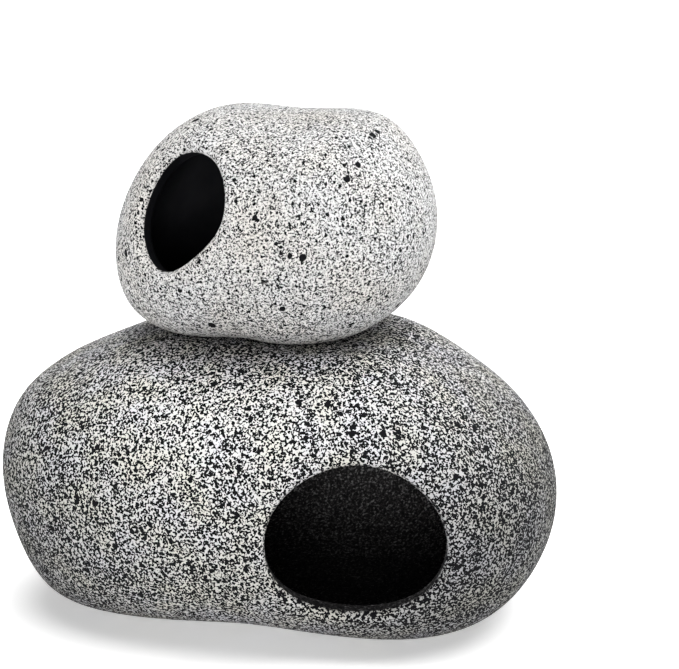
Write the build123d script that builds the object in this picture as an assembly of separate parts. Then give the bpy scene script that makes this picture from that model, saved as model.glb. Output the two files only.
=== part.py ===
from build123d import *

import os
from dataclasses import dataclass
from math import atan2, cos, radians, sin

# A cave ornament for an aquarium: two hollow cast-resin stones, the small one standing loose on
# the flattened crown of the wide one. Each has one oval mouth and a thin stone-effect coat.
# Millimetres. The origin is the middle of the foot, on the ground; +Z is up, -Y is the front.

CROWN = 77.0         # height of the wide stone's flattened crown
SEAT_GAP = 0.1       # play between the crown and the small stone that stands on it
COAT = 0.8           # thickness of the stone-effect coat
WALL = 5.8           # thickness of the whole wall, casting and coat together
BARE_EDGE = 0.5      # how far above a flat foot the coat stops
CROWN_BLEND = 12.0   # radius that softens the edge of a flattened crown
LIP_COAT_DEPTH = 0.5  # how far the coat goes on into a mouth behind its rounded lip
INNER_EDGE = 2.5     # radius of a mouth's edge on the inside, where it opens into the cave

ROUNDING = 0.7       # how far the sections have turned into ellipses at the front and back tips
SECTION_STEP = 14    # degrees from one section to the next
LAST_SECTION = 84    # degrees of the last small section before each tip
RIM_DEPTH = 12.0     # how far the edge of a mouth may lie from the mouth's plane
SPAN = 400.0         # side of the blocks that trim a stone flat, larger than any stone


@dataclass
class Mouth:
    ring: list       # the hole's outline in its own plane: right and up from its centre
    centre: tuple    # where the hole's axis meets the stone's skin
    turn: float      # degrees that the hole is turned from the front towards +X
    tilt: float      # degrees that it faces upwards
    lip: float       # radius of its rounded rim


@dataclass
class Stone:
    outline: list    # x, z round the widest section, counter-clockwise from the foot
    middle: float    # height of the stone's middle
    front: float     # depth forward of the widest section
    back: float      # depth behind it
    front_power: float   # squareness of the front half, where 2 is an ellipse
    back_power: float    # squareness of the back half
    foot: float      # height of the flat underside
    crown: float     # height of the flat top, above the outline where there is none
    mouth: Mouth


WIDE_STONE = Stone(
    outline=[(-0.5, -1), (41.5, -2), (61.5, 4), (73.5, 20), (74.5, 40), (64.5, 57.5), (49.5, 69),
             (32.5, 77.5), (-0.5, 79), (-33.5, 76.5), (-52, 69.5), (-69.5, 58.5), (-76, 40),
             (-73, 20.5), (-63, 3.5), (-43, -2.5)],
    middle=40, front=54.5, back=54.5, front_power=2.5, back_power=2.35, foot=0, crown=CROWN,
    mouth=Mouth(
        ring=[(23, -1.5), (16, 11), (0, 17.5), (-16.5, 11), (-23, -2), (-19, -15.5),
              (0, -22.5), (19, -15.5)],
        centre=(34.5, -51.2, 37.5), turn=15, tilt=0, lip=1.8))

SMALL_STONE = Stone(
    outline=[(-0.5, 75), (20.5, 77), (37, 89.5), (42, 107), (37.5, 123.5), (27.5, 134.5),
             (4.5, 136), (-17, 136), (-29, 129.5), (-38.5, 117), (-43.5, 99.5), (-39, 82),
             (-22, 75)],
    middle=107, front=38, back=38, front_power=2.25, back_power=2.2, foot=CROWN + SEAT_GAP,
    crown=200,
    mouth=Mouth(
        ring=[(12.5, 1.5), (10, 8.5), (1.5, 14.5), (-7.5, 13.5), (-12.5, 3.5), (-13, -7),
              (-7.5, -16), (7, -9.5)],
        centre=(-17.5, -34.2, 115.5), turn=-25, tilt=15, lip=1.8))


def closed_curve(points):
    """Smooth closed wire through the points, as two halves so that no face closes on itself."""
    loop = Edge.make_spline(points, periodic=True)
    return Wire([loop.trim(0, 0.5), loop.trim(0.5, 1)])


def section(stone, inset, angle):
    """Cross-section of a stone, shrunk by inset, from angle -90 at its front to 90 at its back."""
    power = stone.front_power if angle < 0 else stone.back_power
    depth = (stone.front if angle < 0 else stone.back) - inset
    sine, cosine = sin(radians(angle)), cos(radians(angle))
    bulge = (abs(sine) ** power + cosine ** power) ** (-1 / power)
    size = cosine * bulge
    ellipse_share = ROUNDING * (1 - size)

    half_width = max(abs(x) for x, _ in stone.outline)
    half_height = max(abs(z - stone.middle) for _, z in stone.outline)
    points = []
    for x, z in stone.outline:
        across, up = x / half_width, (z - stone.middle) / half_height
        bearing = atan2(up, across)
        across += ellipse_share * (cos(bearing) - across)
        up += ellipse_share * (sin(bearing) - up)
        points.append(Vector(size * across * (half_width - inset), depth * sine * bulge,
                             stone.middle + size * up * (half_height - inset)))
    return closed_curve(points)


def pebble(stone, inset=0.0):
    """The whole rounded stone, shrunk by inset, before its flats and its mouth are cut."""
    inner = [SECTION_STEP * step for step in range(-5, 6)]
    angles = [-LAST_SECTION, *inner, LAST_SECTION]
    front_tip = Vertex(0, inset - stone.front, stone.middle)
    back_tip = Vertex(0, stone.back - inset, stone.middle)
    return Solid.make_loft([front_tip, *(section(stone, inset, a) for a in angles), back_tip])


def slab(bottom, top):
    """Block between two heights, wider than any stone."""
    block = Solid.make_box(SPAN, SPAN, top - bottom)
    return block.translate(Vector(-SPAN / 2, -SPAN / 2, bottom))


def mouth_plane(mouth):
    """Plane across a mouth, with its normal pointing out of the hole."""
    turn, tilt = radians(mouth.turn), radians(mouth.tilt)
    outward = Vector(sin(turn) * cos(tilt), -cos(turn) * cos(tilt), sin(tilt))
    return Plane(origin=mouth.centre, x_dir=Vector(cos(turn), sin(turn), 0), z_dir=outward)


def mouth_bore(mouth, widen=0.0, ahead=15.0, deep=20.0):
    """Straight plug the shape of the hole, from ahead of the skin to deep inside the cave."""
    plane = mouth_plane(mouth)
    half_width = max(abs(u) for u, _ in mouth.ring)
    half_height = max(abs(v) for _, v in mouth.ring)
    ring = [(u * (1 + widen / half_width), v * (1 + widen / half_height)) for u, v in mouth.ring]
    wire = closed_curve([plane.from_local_coords(Vector(u, v, ahead)) for u, v in ring])
    return Solid.extrude(Face(wire), plane.z_dir * -(ahead + deep))


def rim_edges(solid, mouth):
    """Edges where the bore of a mouth meets the stone's skin or its cave."""
    plane = mouth_plane(mouth)
    half_width = max(abs(u) for u, _ in mouth.ring)
    half_height = max(abs(v) for _, v in mouth.ring)

    def on_rim(edge):
        places = [plane.to_local_coords(edge @ part) for part in (0.1, 0.5, 0.9)]
        return all(abs(p.X) < 1.2 * half_width and abs(p.Y) < 1.2 * half_height
                   and abs(p.Z) < RIM_DEPTH for p in places)

    return [edge for edge in solid.edges() if on_rim(edge) and edge.geom_type != GeomType.LINE]


def without(solid, *tools):
    """The one solid left when each tool in turn is cut away."""
    for tool in tools:
        solid = (solid - tool).solids()[0]
    return solid


def trimmed_stone(stone, inset):
    """Stone with its flat foot and, on the wide one, its flat crown with a softened edge."""
    trimmed = (pebble(stone, inset) & slab(stone.foot, stone.crown - inset)).solids()[0]
    crown = stone.crown - inset
    crown_edges = [edge for edge in trimmed.edges() if edge.bounding_box().min.Z > crown - 0.01]
    return trimmed.fillet(CROWN_BLEND - inset, crown_edges) if crown_edges else trimmed


def bored_stone(stone, inset=0.0):
    """Solid stone with its flats, and its mouth with a rounded lip."""
    bored = without(trimmed_stone(stone, inset), mouth_bore(stone.mouth, widen=inset))
    return bored.fillet(stone.mouth.lip - inset, rim_edges(bored, stone.mouth))


def rounded_inside(body, stone):
    """The casting with its mouth's edge rounded where it opens into the cave."""
    deep = pebble(stone, WALL - 1)
    edges = [edge for edge in rim_edges(body, stone.mouth) if deep.is_inside(edge @ 0.5)]
    return body.fillet(INNER_EDGE, edges)


def coat_and_body(stone):
    """The thin coat over a stone, and the hollow casting under it."""
    whole = bored_stone(stone)
    coat_end = stone.mouth.lip + LIP_COAT_DEPTH
    deeper = pebble(stone, coat_end) & slab(stone.foot - WALL, stone.crown - coat_end)
    bare_foot = slab(stone.foot - WALL, stone.foot + BARE_EDGE)
    coat = without(whole, bored_stone(stone, COAT), deeper, bare_foot)

    cave = pebble(stone, WALL) & slab(stone.foot + WALL, stone.crown - WALL)
    return coat, rounded_inside(without(whole, cave, coat), stone)


def main():
    lower_coat, lower_body = coat_and_body(WIDE_STONE)
    upper_coat, upper_body = coat_and_body(SMALL_STONE)
    nodes = {
        "lower_stone_body": lower_body,
        "lower_stone_coat": lower_coat,
        "upper_stone_body": upper_body,
        "upper_stone_coat": upper_coat,
    }
    os.makedirs("parts", exist_ok=True)
    for name, solid in nodes.items():
        solid.label = name
        export_step(solid, f"parts/{name}.step")


main()
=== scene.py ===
from math import cos, radians, sin

import bpy
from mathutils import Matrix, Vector


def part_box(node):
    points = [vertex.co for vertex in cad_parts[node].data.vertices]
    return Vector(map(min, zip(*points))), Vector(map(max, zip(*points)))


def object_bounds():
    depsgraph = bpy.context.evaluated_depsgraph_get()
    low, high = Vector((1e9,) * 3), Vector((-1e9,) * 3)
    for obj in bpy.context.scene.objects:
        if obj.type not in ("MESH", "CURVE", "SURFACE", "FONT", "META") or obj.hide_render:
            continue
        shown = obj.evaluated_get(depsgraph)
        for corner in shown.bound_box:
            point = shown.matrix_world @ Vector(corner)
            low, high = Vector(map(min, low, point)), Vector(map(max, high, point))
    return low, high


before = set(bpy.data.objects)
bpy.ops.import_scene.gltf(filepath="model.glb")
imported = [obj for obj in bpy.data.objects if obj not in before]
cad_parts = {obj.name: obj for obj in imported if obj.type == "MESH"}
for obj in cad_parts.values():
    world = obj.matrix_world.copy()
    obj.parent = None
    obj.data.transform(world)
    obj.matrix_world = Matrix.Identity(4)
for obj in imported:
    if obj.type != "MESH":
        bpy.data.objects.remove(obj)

# A cave ornament of two hollow resin stones with a mineral-grain coat, the small one loose on the
# crown of the wide one. Metres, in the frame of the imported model.

CAD_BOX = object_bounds()
LOW, HIGH = CAD_BOX
WIDTH = HIGH.x - LOW.x
HEIGHT = HIGH.z - LOW.z

# Camera: turned to the right of the front and looking down a little, with a long lens.
CAMERA_TURN = radians(15)
CAMERA_RISE = radians(15)
CAMERA_DISTANCE = 4.09 * WIDTH
CAMERA_LENS = 121.6          # mm, on a 36 mm sensor
AIM_HEIGHT = 0.5475          # of the object's height
AIM_ASIDE = 0.106            # of the object's width, to the camera's right

# Colours of the coats, of the resin and of its grit.
BLACK = (0.004, 0.004, 0.005)
WHITE = (1.0, 1.0, 1.0)
WARM_WHITE = (1.0, 0.97, 0.92)
COOL_GREY = (0.76, 0.76, 0.79)
WARM_GREY = (0.76, 0.75, 0.69)
GRITTY_RESIN = ((0.010, 0.010, 0.011), (0.055, 0.052, 0.052))    # its darkest and its usual shade
PALE_GRIT = 0.36
SMOOTH_RESIN = ((0.014, 0.014, 0.017), (0.030, 0.030, 0.034))    # its darkest and its lightest

# Finish of the grainy coats and of the bare resin.
GRAIN = 1600.0               # noise scale of the dark coat's grain, about 0.5 mm; the light one's is finer
COAT_ROUGHNESS = 0.85
COAT_GLOSS = 0.1
RESIN_GLOSS = 0.2
GRAIN_RELIEF = 0.0002

FLOOR_SIDE = 6.0
FLOOR_SHADE = 0.98
FLOOR_GLOW = 0.4

# Studio light: a bright band round the horizon, whose strength goes by the sine of the height
# above it, and a round soft panel overhead, a little behind the object and to its right.
HORIZON = [(-1, 0.4), (-0.40, 0.6), (-0.12, 3.9), (0.06, 3.9), (0.16, 0.06), (1, 0.06)]
PANEL_AXIS = Vector((0.2, 0.2, 0.95)).normalized()
PANEL_EDGE = (cos(radians(45)), cos(radians(28)))    # where its light begins and is full
PANEL_LIGHT = 4.2
FILL_PLACE = (2 * WIDTH, -8 * WIDTH, HEIGHT)         # a weak lamp in front


def oval_patch(coat, place, reach):
    """Oval patch of a stone as its centre and half sizes, given as shares of its coat's box."""
    low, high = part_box(coat)
    size = high - low
    return low + size * Vector(place), size * Vector(reach)


# The wide stone's middle, outside which its coat is painted darker as shade towards the ends and the foot;
# its crown, painted dark as the small stone's shadow; the mouths with their black lips, the underside
# of the small stone, and two black chips on it.
WIDE_STONE = oval_patch("lower_stone_coat", place=(0.48, 0.5, 0.80), reach=(0.53, 0.92, 0.98))
# Painted shadow: the patch of the crown that the small stone shades.
CROWN_PAINTED_SHADOW = oval_patch("lower_stone_coat", place=(0.5, 0.5, 1.04), reach=(0.42, 0.50, 0.21))
WIDE_MOUTH = oval_patch("lower_stone_coat", place=(0.73, 0.03, 0.48), reach=(0.20, 0.20, 0.39))
SMALL_MOUTH = oval_patch("upper_stone_coat", place=(0.30, 0.05, 0.64), reach=(0.25, 0.26, 0.41))
SMALL_FOOT = oval_patch("upper_stone_coat", place=(0.51, 0.5, 0.01), reach=(0.64, 0.72, 0.51))
LOW_CHIP = oval_patch("upper_stone_coat", place=(0.392, 0.132, 0.108), reach=(0.012, 0.039, 0.017))
HIGH_CHIP = oval_patch("upper_stone_coat", place=(0.831, 0.204, 0.835), reach=(0.009, 0.011, 0.014))


class Nodes:
    """Short way to add and join the shader nodes of a material or a world."""

    def __init__(self, owner):
        owner.use_nodes = True
        self.owner = owner
        self.tree = owner.node_tree
        self.shader = self.tree.nodes.get("Principled BSDF")
        self.place = self.add("ShaderNodeTexCoord").outputs["Object"]

    def add(self, kind, **settings):
        node = self.tree.nodes.new(kind)
        for name, value in settings.items():
            setattr(node, name, value)
        return node

    def plug(self, value, socket):
        """Join an output to a socket, or set the socket to a plain value."""
        if isinstance(value, bpy.types.NodeSocket):
            self.tree.links.new(value, socket)
        elif isinstance(value, tuple) and len(socket.default_value) == 4:
            socket.default_value = (*value, 1)
        else:
            socket.default_value = value

    def math(self, operation, first, second=0.0, third=0.0):
        node = self.add("ShaderNodeMath", operation=operation)
        for value, socket in zip((first, second, third), node.inputs):
            self.plug(value, socket)
        return node.outputs[0]

    def noise(self, scale, detail=2.0, roughness=0.5, distortion=0.0, seed=0.0, output="Fac"):
        node = self.add("ShaderNodeTexNoise", noise_dimensions="4D")
        values = {"Vector": self.place, "W": seed, "Scale": scale, "Detail": detail,
                  "Roughness": roughness, "Distortion": distortion}
        for name, value in values.items():
            self.plug(value, node.inputs[name])
        return node.outputs[output]

    def shaken(self, scale, reach, seed):
        """The place on the object, moved about by up to about half the reach."""
        colour = self.noise(scale, seed=seed, output="Color")
        node = self.add("ShaderNodeVectorMath", operation="MULTIPLY_ADD")
        self.plug(colour, node.inputs[0])
        self.plug((reach, reach, reach), node.inputs[1])
        self.plug(self.place, node.inputs[2])
        return node.outputs[0]

    def step(self, value, edge, softness):
        """0 below the edge and 1 above it, with a soft change between."""
        node = self.add("ShaderNodeMapRange", interpolation_type="SMOOTHSTEP")
        self.plug(value, node.inputs["Value"])
        self.plug(edge - softness, node.inputs["From Min"])
        self.plug(edge + softness, node.inputs["From Max"])
        return node.outputs["Result"]

    def away(self, patch):
        """Distance from the centre of an oval patch: 1 on its edge and more outside it."""
        centre, half_sizes = patch
        node = self.add("ShaderNodeVectorMath", operation="MULTIPLY_ADD")
        self.plug(self.place, node.inputs[0])
        node.inputs[1].default_value = [1 / half for half in half_sizes]
        node.inputs[2].default_value = [-middle / half for middle, half in zip(centre, half_sizes)]
        length = self.add("ShaderNodeVectorMath", operation="LENGTH")
        self.plug(node.outputs[0], length.inputs[0])
        return length.outputs["Value"]

    def squiggles(self, scale, width, seed):
        """Mask of short thin curls: pieces of the level lines of a noise."""
        level = self.noise(scale, detail=1.0, distortion=0.8, seed=seed)
        off_line = self.math("ABSOLUTE", self.math("SUBTRACT", level, 0.5))
        line = self.step(off_line, edge=width, softness=width * 0.3)
        breaks = self.noise(scale * 1.5, detail=1.0, seed=seed + 1)
        piece = self.step(breaks, edge=0.56, softness=0.02)
        return self.math("MULTIPLY", self.math("SUBTRACT", 1.0, line), piece)

    def flecks(self, size, share, place, radius, seed):
        """Mask of separate grains: a share of the cells of the given size hold one.
        The radius is the mean one, in cells."""
        moved = self.add("ShaderNodeVectorMath", operation="ADD")
        self.plug(place, moved.inputs[0])
        self.plug((seed, seed, seed), moved.inputs[1])
        cells = self.add("ShaderNodeTexVoronoi")
        self.plug(moved.outputs[0], cells.inputs["Vector"])
        self.plug(1 / size, cells.inputs["Scale"])
        chance = self.add("ShaderNodeSeparateColor")
        self.plug(cells.outputs["Color"], chance.inputs[0])
        held = self.math("LESS_THAN", chance.outputs["Red"], share)
        reach = self.math("MULTIPLY_ADD", chance.outputs["Green"], radius * 0.7, radius * 0.65)
        near = self.math("LESS_THAN", cells.outputs["Distance"], reach)
        return self.math("MULTIPLY", held, near)

    def ramp(self, source, *stops):
        """Shade that goes by the source: each stop is a position and a grey or a colour."""
        node = self.add("ShaderNodeValToRGB")
        elements = node.color_ramp.elements
        while len(elements) < len(stops):
            elements.new(0.5)
        for element, (position, shade) in zip(elements, stops):
            element.position = position
            element.color = (*shade, 1) if isinstance(shade, tuple) else (shade, shade, shade, 1)
        self.plug(source, node.inputs["Fac"])
        return node.outputs["Color"]

    def mix(self, share, first, second, blend="MIX"):
        node = self.add("ShaderNodeMix", data_type="RGBA", blend_type=blend)
        factor, first_colour, second_colour = (node.inputs[i] for i in (0, 6, 7))
        self.plug(share, factor)
        self.plug(first, first_colour)
        self.plug(second, second_colour)
        return node.outputs[2]

    def bump(self, height, distance, strength):
        node = self.add("ShaderNodeBump")
        self.plug(height, node.inputs["Height"])
        node.inputs["Distance"].default_value = distance
        node.inputs["Strength"].default_value = strength
        self.plug(node.outputs["Normal"], self.shader.inputs["Normal"])

    def finish(self, colour, roughness, gloss):
        self.plug(colour, self.shader.inputs["Base Color"])
        self.plug(roughness, self.shader.inputs["Roughness"])
        self.shader.inputs["Specular IOR Level"].default_value = gloss
        return self.owner


def dark_coat_material():
    """Dense salt-and-pepper grain, about half of it black. Towards the ends and the foot there is more
    black grain and the pale grain is greyer, as painted shade; on the crown under the small stone there is
    more black grain, as its painted shadow."""
    n = Nodes(bpy.data.materials.new("dark_speckled_coat"))
    fine = n.noise(GRAIN, detail=0.0, distortion=0.9)
    outward = n.away(WIDE_STONE)
    # Painted shade: fewer pale grains, so more black, towards the ends and the foot of the wide stone.
    painted_end_shade_black = n.ramp(outward, (0.40, 0.0), (0.8, 0.035), (1.0, 0.06))
    # Painted shadow of the small stone: more black grain on the crown beneath it.
    painted_seat_shadow = n.ramp(n.away(CROWN_PAINTED_SHADOW), (0.5, 0.07), (1.0, 0.0))
    level = n.math("SUBTRACT", fine, n.math("ADD", painted_end_shade_black, painted_seat_shadow))
    grains = n.step(level, edge=0.50, softness=0.015)
    ragged = n.shaken(scale=900, reach=0.0012, seed=3)
    larger = n.flecks(size=0.0018, share=0.08, place=ragged, radius=0.40, seed=2)
    tint = n.ramp(n.noise(scale=90, seed=4), (0.35, COOL_GREY), (0.65, WARM_GREY))
    # Painted shade: the pale grain turns greyer towards the ends and the foot of the wide stone.
    painted_end_shade = n.ramp(outward, (0.40, 1.0), (0.8, 0.63), (1.0, 0.40))
    pale = n.mix(1.0, tint, painted_end_shade, "MULTIPLY")
    colour = n.mix(grains, BLACK, pale)
    colour = n.mix(larger, colour, BLACK)
    n.bump(fine, distance=GRAIN_RELIEF, strength=0.3)
    return n.finish(colour, COAT_ROUGHNESS, COAT_GLOSS)


def light_coat_material():
    """Pale ground with fine grey grain, thin black curls, more of them low down, scattered black
    flecks, and two chips in places of their own."""
    n = Nodes(bpy.data.materials.new("light_speckled_coat"))
    mottle = n.noise(1.2 * GRAIN, detail=0.0, distortion=0.6, seed=11)
    grain = n.ramp(mottle, (0.30, 0.41), (0.43, 0.60), (0.60, 0.70))
    tint = n.ramp(n.noise(scale=60, seed=18), (0.4, WHITE), (0.7, WARM_WHITE))
    ground = n.mix(1.0, grain, tint, "MULTIPLY")
    fine_curls = n.squiggles(scale=1350, width=0.13, seed=12)
    coarse_curls = n.squiggles(scale=1050, width=0.10, seed=17)
    slightly_ragged = n.shaken(scale=1500, reach=0.0006, seed=13)
    ragged = n.shaken(scale=900, reach=0.0010, seed=15)
    small = n.flecks(size=0.0012, share=0.10, place=slightly_ragged, radius=0.38, seed=13)
    larger = n.flecks(size=0.0030, share=0.045, place=ragged, radius=0.30, seed=16)
    low = n.ramp(n.away(SMALL_FOOT), (0.55, 1.0), (1.0, 0.0))
    low_curls = n.math("MULTIPLY", n.squiggles(scale=700, width=0.07, seed=22), low)
    marks = fine_curls
    for more in (coarse_curls, small, larger, low_curls):
        marks = n.math("MAXIMUM", marks, more)
    for chip in (LOW_CHIP, HIGH_CHIP):
        marks = n.math("MAXIMUM", marks, n.math("LESS_THAN", n.away(chip), 1.0))
    colour = n.mix(marks, ground, BLACK)
    n.bump(mottle, distance=GRAIN_RELIEF, strength=0.3)
    return n.finish(colour, COAT_ROUGHNESS, COAT_GLOSS)


def gritty_resin_material():
    """Black resin with pale grit, black at the lip of the mouth."""
    n = Nodes(bpy.data.materials.new("dark_resin_gritty"))
    grit = n.noise(scale=1500, roughness=0.6, distortion=0.4, seed=21)
    darkest, usual = GRITTY_RESIN
    colour = n.ramp(grit, (0.42, darkest), (0.55, usual), (0.68, PALE_GRIT))
    colour = n.mix(n.ramp(n.away(WIDE_MOUTH), (0.8, 0.0), (1.0, 1.0)), BLACK, colour)
    n.bump(grit, distance=0.0003, strength=0.7)
    return n.finish(colour, roughness=0.6, gloss=RESIN_GLOSS)


def smooth_resin_material():
    """Near-black satin resin, with the coats' black at the lip of the mouth."""
    n = Nodes(bpy.data.materials.new("dark_resin_smooth"))
    cloud = n.noise(scale=60, detail=3.0, roughness=0.6, seed=31)
    darkest, lightest = SMOOTH_RESIN
    colour = n.ramp(cloud, (0.35, darkest), (0.7, lightest))
    colour = n.mix(n.ramp(n.away(SMALL_MOUTH), (0.8, 0.0), (1.0, 1.0)), BLACK, colour)
    n.bump(n.noise(scale=300, detail=3.0, seed=32), distance=0.0002, strength=0.4)
    return n.finish(colour, roughness=0.45, gloss=RESIN_GLOSS)


def set_material(node, material):
    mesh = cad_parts[node].data
    mesh.materials.clear()
    mesh.materials.append(material)


def make_floor():
    """Plain white paper that glows a little. It lends the stones no diffuse light: the world's
    lower half does that."""
    half = FLOOR_SIDE / 2
    corners = [(-half, -half, 0), (half, -half, 0), (half, half, 0), (-half, half, 0)]
    mesh = bpy.data.meshes.new("floor")
    mesh.from_pydata(corners, [], [(0, 1, 2, 3)])
    floor = bpy.data.objects.new("floor", mesh)
    bpy.context.scene.collection.objects.link(floor)
    n = Nodes(bpy.data.materials.new("floor_paper"))
    n.plug((FLOOR_SHADE, FLOOR_SHADE, FLOOR_SHADE), n.shader.inputs["Base Color"])
    n.plug(WHITE, n.shader.inputs["Emission Color"])
    n.plug(FLOOR_GLOW, n.shader.inputs["Emission Strength"])
    n.plug(0.0, n.shader.inputs["Specular IOR Level"])
    mesh.materials.append(n.owner)
    floor.visible_diffuse = False


def make_world():
    """White studio: the horizon band and the overhead panel, dim elsewhere."""
    world = bpy.data.worlds.new("studio")
    bpy.context.scene.world = world
    n = Nodes(world)
    direction = n.add("ShaderNodeTexCoord").outputs["Generated"]
    split = n.add("ShaderNodeSeparateXYZ")
    n.plug(direction, split.inputs[0])
    strongest = max(strength for _, strength in HORIZON)
    stops = [((rise + 1) / 2, strength / strongest) for rise, strength in HORIZON]
    band = n.ramp(n.math("MULTIPLY_ADD", split.outputs["Z"], 0.5, 0.5), *stops)
    towards = n.add("ShaderNodeVectorMath", operation="DOT_PRODUCT")
    n.plug(direction, towards.inputs[0])
    towards.inputs[1].default_value = PANEL_AXIS
    middle = sum(PANEL_EDGE) / 2
    panel = n.step(towards.outputs["Value"], edge=middle, softness=PANEL_EDGE[1] - middle)
    overhead = n.math("MULTIPLY", panel, PANEL_LIGHT)
    strength = n.math("MULTIPLY_ADD", band, strongest, overhead)
    n.plug(strength, n.tree.nodes["Background"].inputs["Strength"])
    n.plug(WHITE, n.tree.nodes["Background"].inputs["Color"])


def make_light(name, place, size, power):
    lamp = bpy.data.lights.new(name, "AREA")
    lamp.shape = "SQUARE"
    lamp.size = size
    lamp.energy = power
    holder = bpy.data.objects.new(name, lamp)
    bpy.context.scene.collection.objects.link(holder)
    holder.location = place
    aim = Vector((0, 0, HEIGHT / 2)) - Vector(place)
    holder.rotation_euler = aim.to_track_quat("-Z", "Y").to_euler()


def make_camera():
    back = Vector((sin(CAMERA_TURN) * cos(CAMERA_RISE), -cos(CAMERA_TURN) * cos(CAMERA_RISE),
                   sin(CAMERA_RISE)))
    right = Vector((cos(CAMERA_TURN), sin(CAMERA_TURN), 0))
    aim = Vector((0, 0, AIM_HEIGHT * HEIGHT)) + AIM_ASIDE * WIDTH * right
    camera = bpy.data.objects.new("camera", bpy.data.cameras.new("camera"))
    camera.data.lens = CAMERA_LENS
    camera.data.clip_start = 0.01
    camera.location = aim + CAMERA_DISTANCE * back
    camera.rotation_euler = back.to_track_quat("Z", "Y").to_euler()
    bpy.context.scene.collection.objects.link(camera)
    bpy.context.scene.camera = camera


set_material("lower_stone_coat", dark_coat_material())
set_material("upper_stone_coat", light_coat_material())
set_material("lower_stone_body", gritty_resin_material())
set_material("upper_stone_body", smooth_resin_material())
make_floor()
make_world()
make_light("front_fill", place=FILL_PLACE, size=0.4, power=4)
make_camera()
bpy.context.scene.view_settings.view_transform = "Standard"
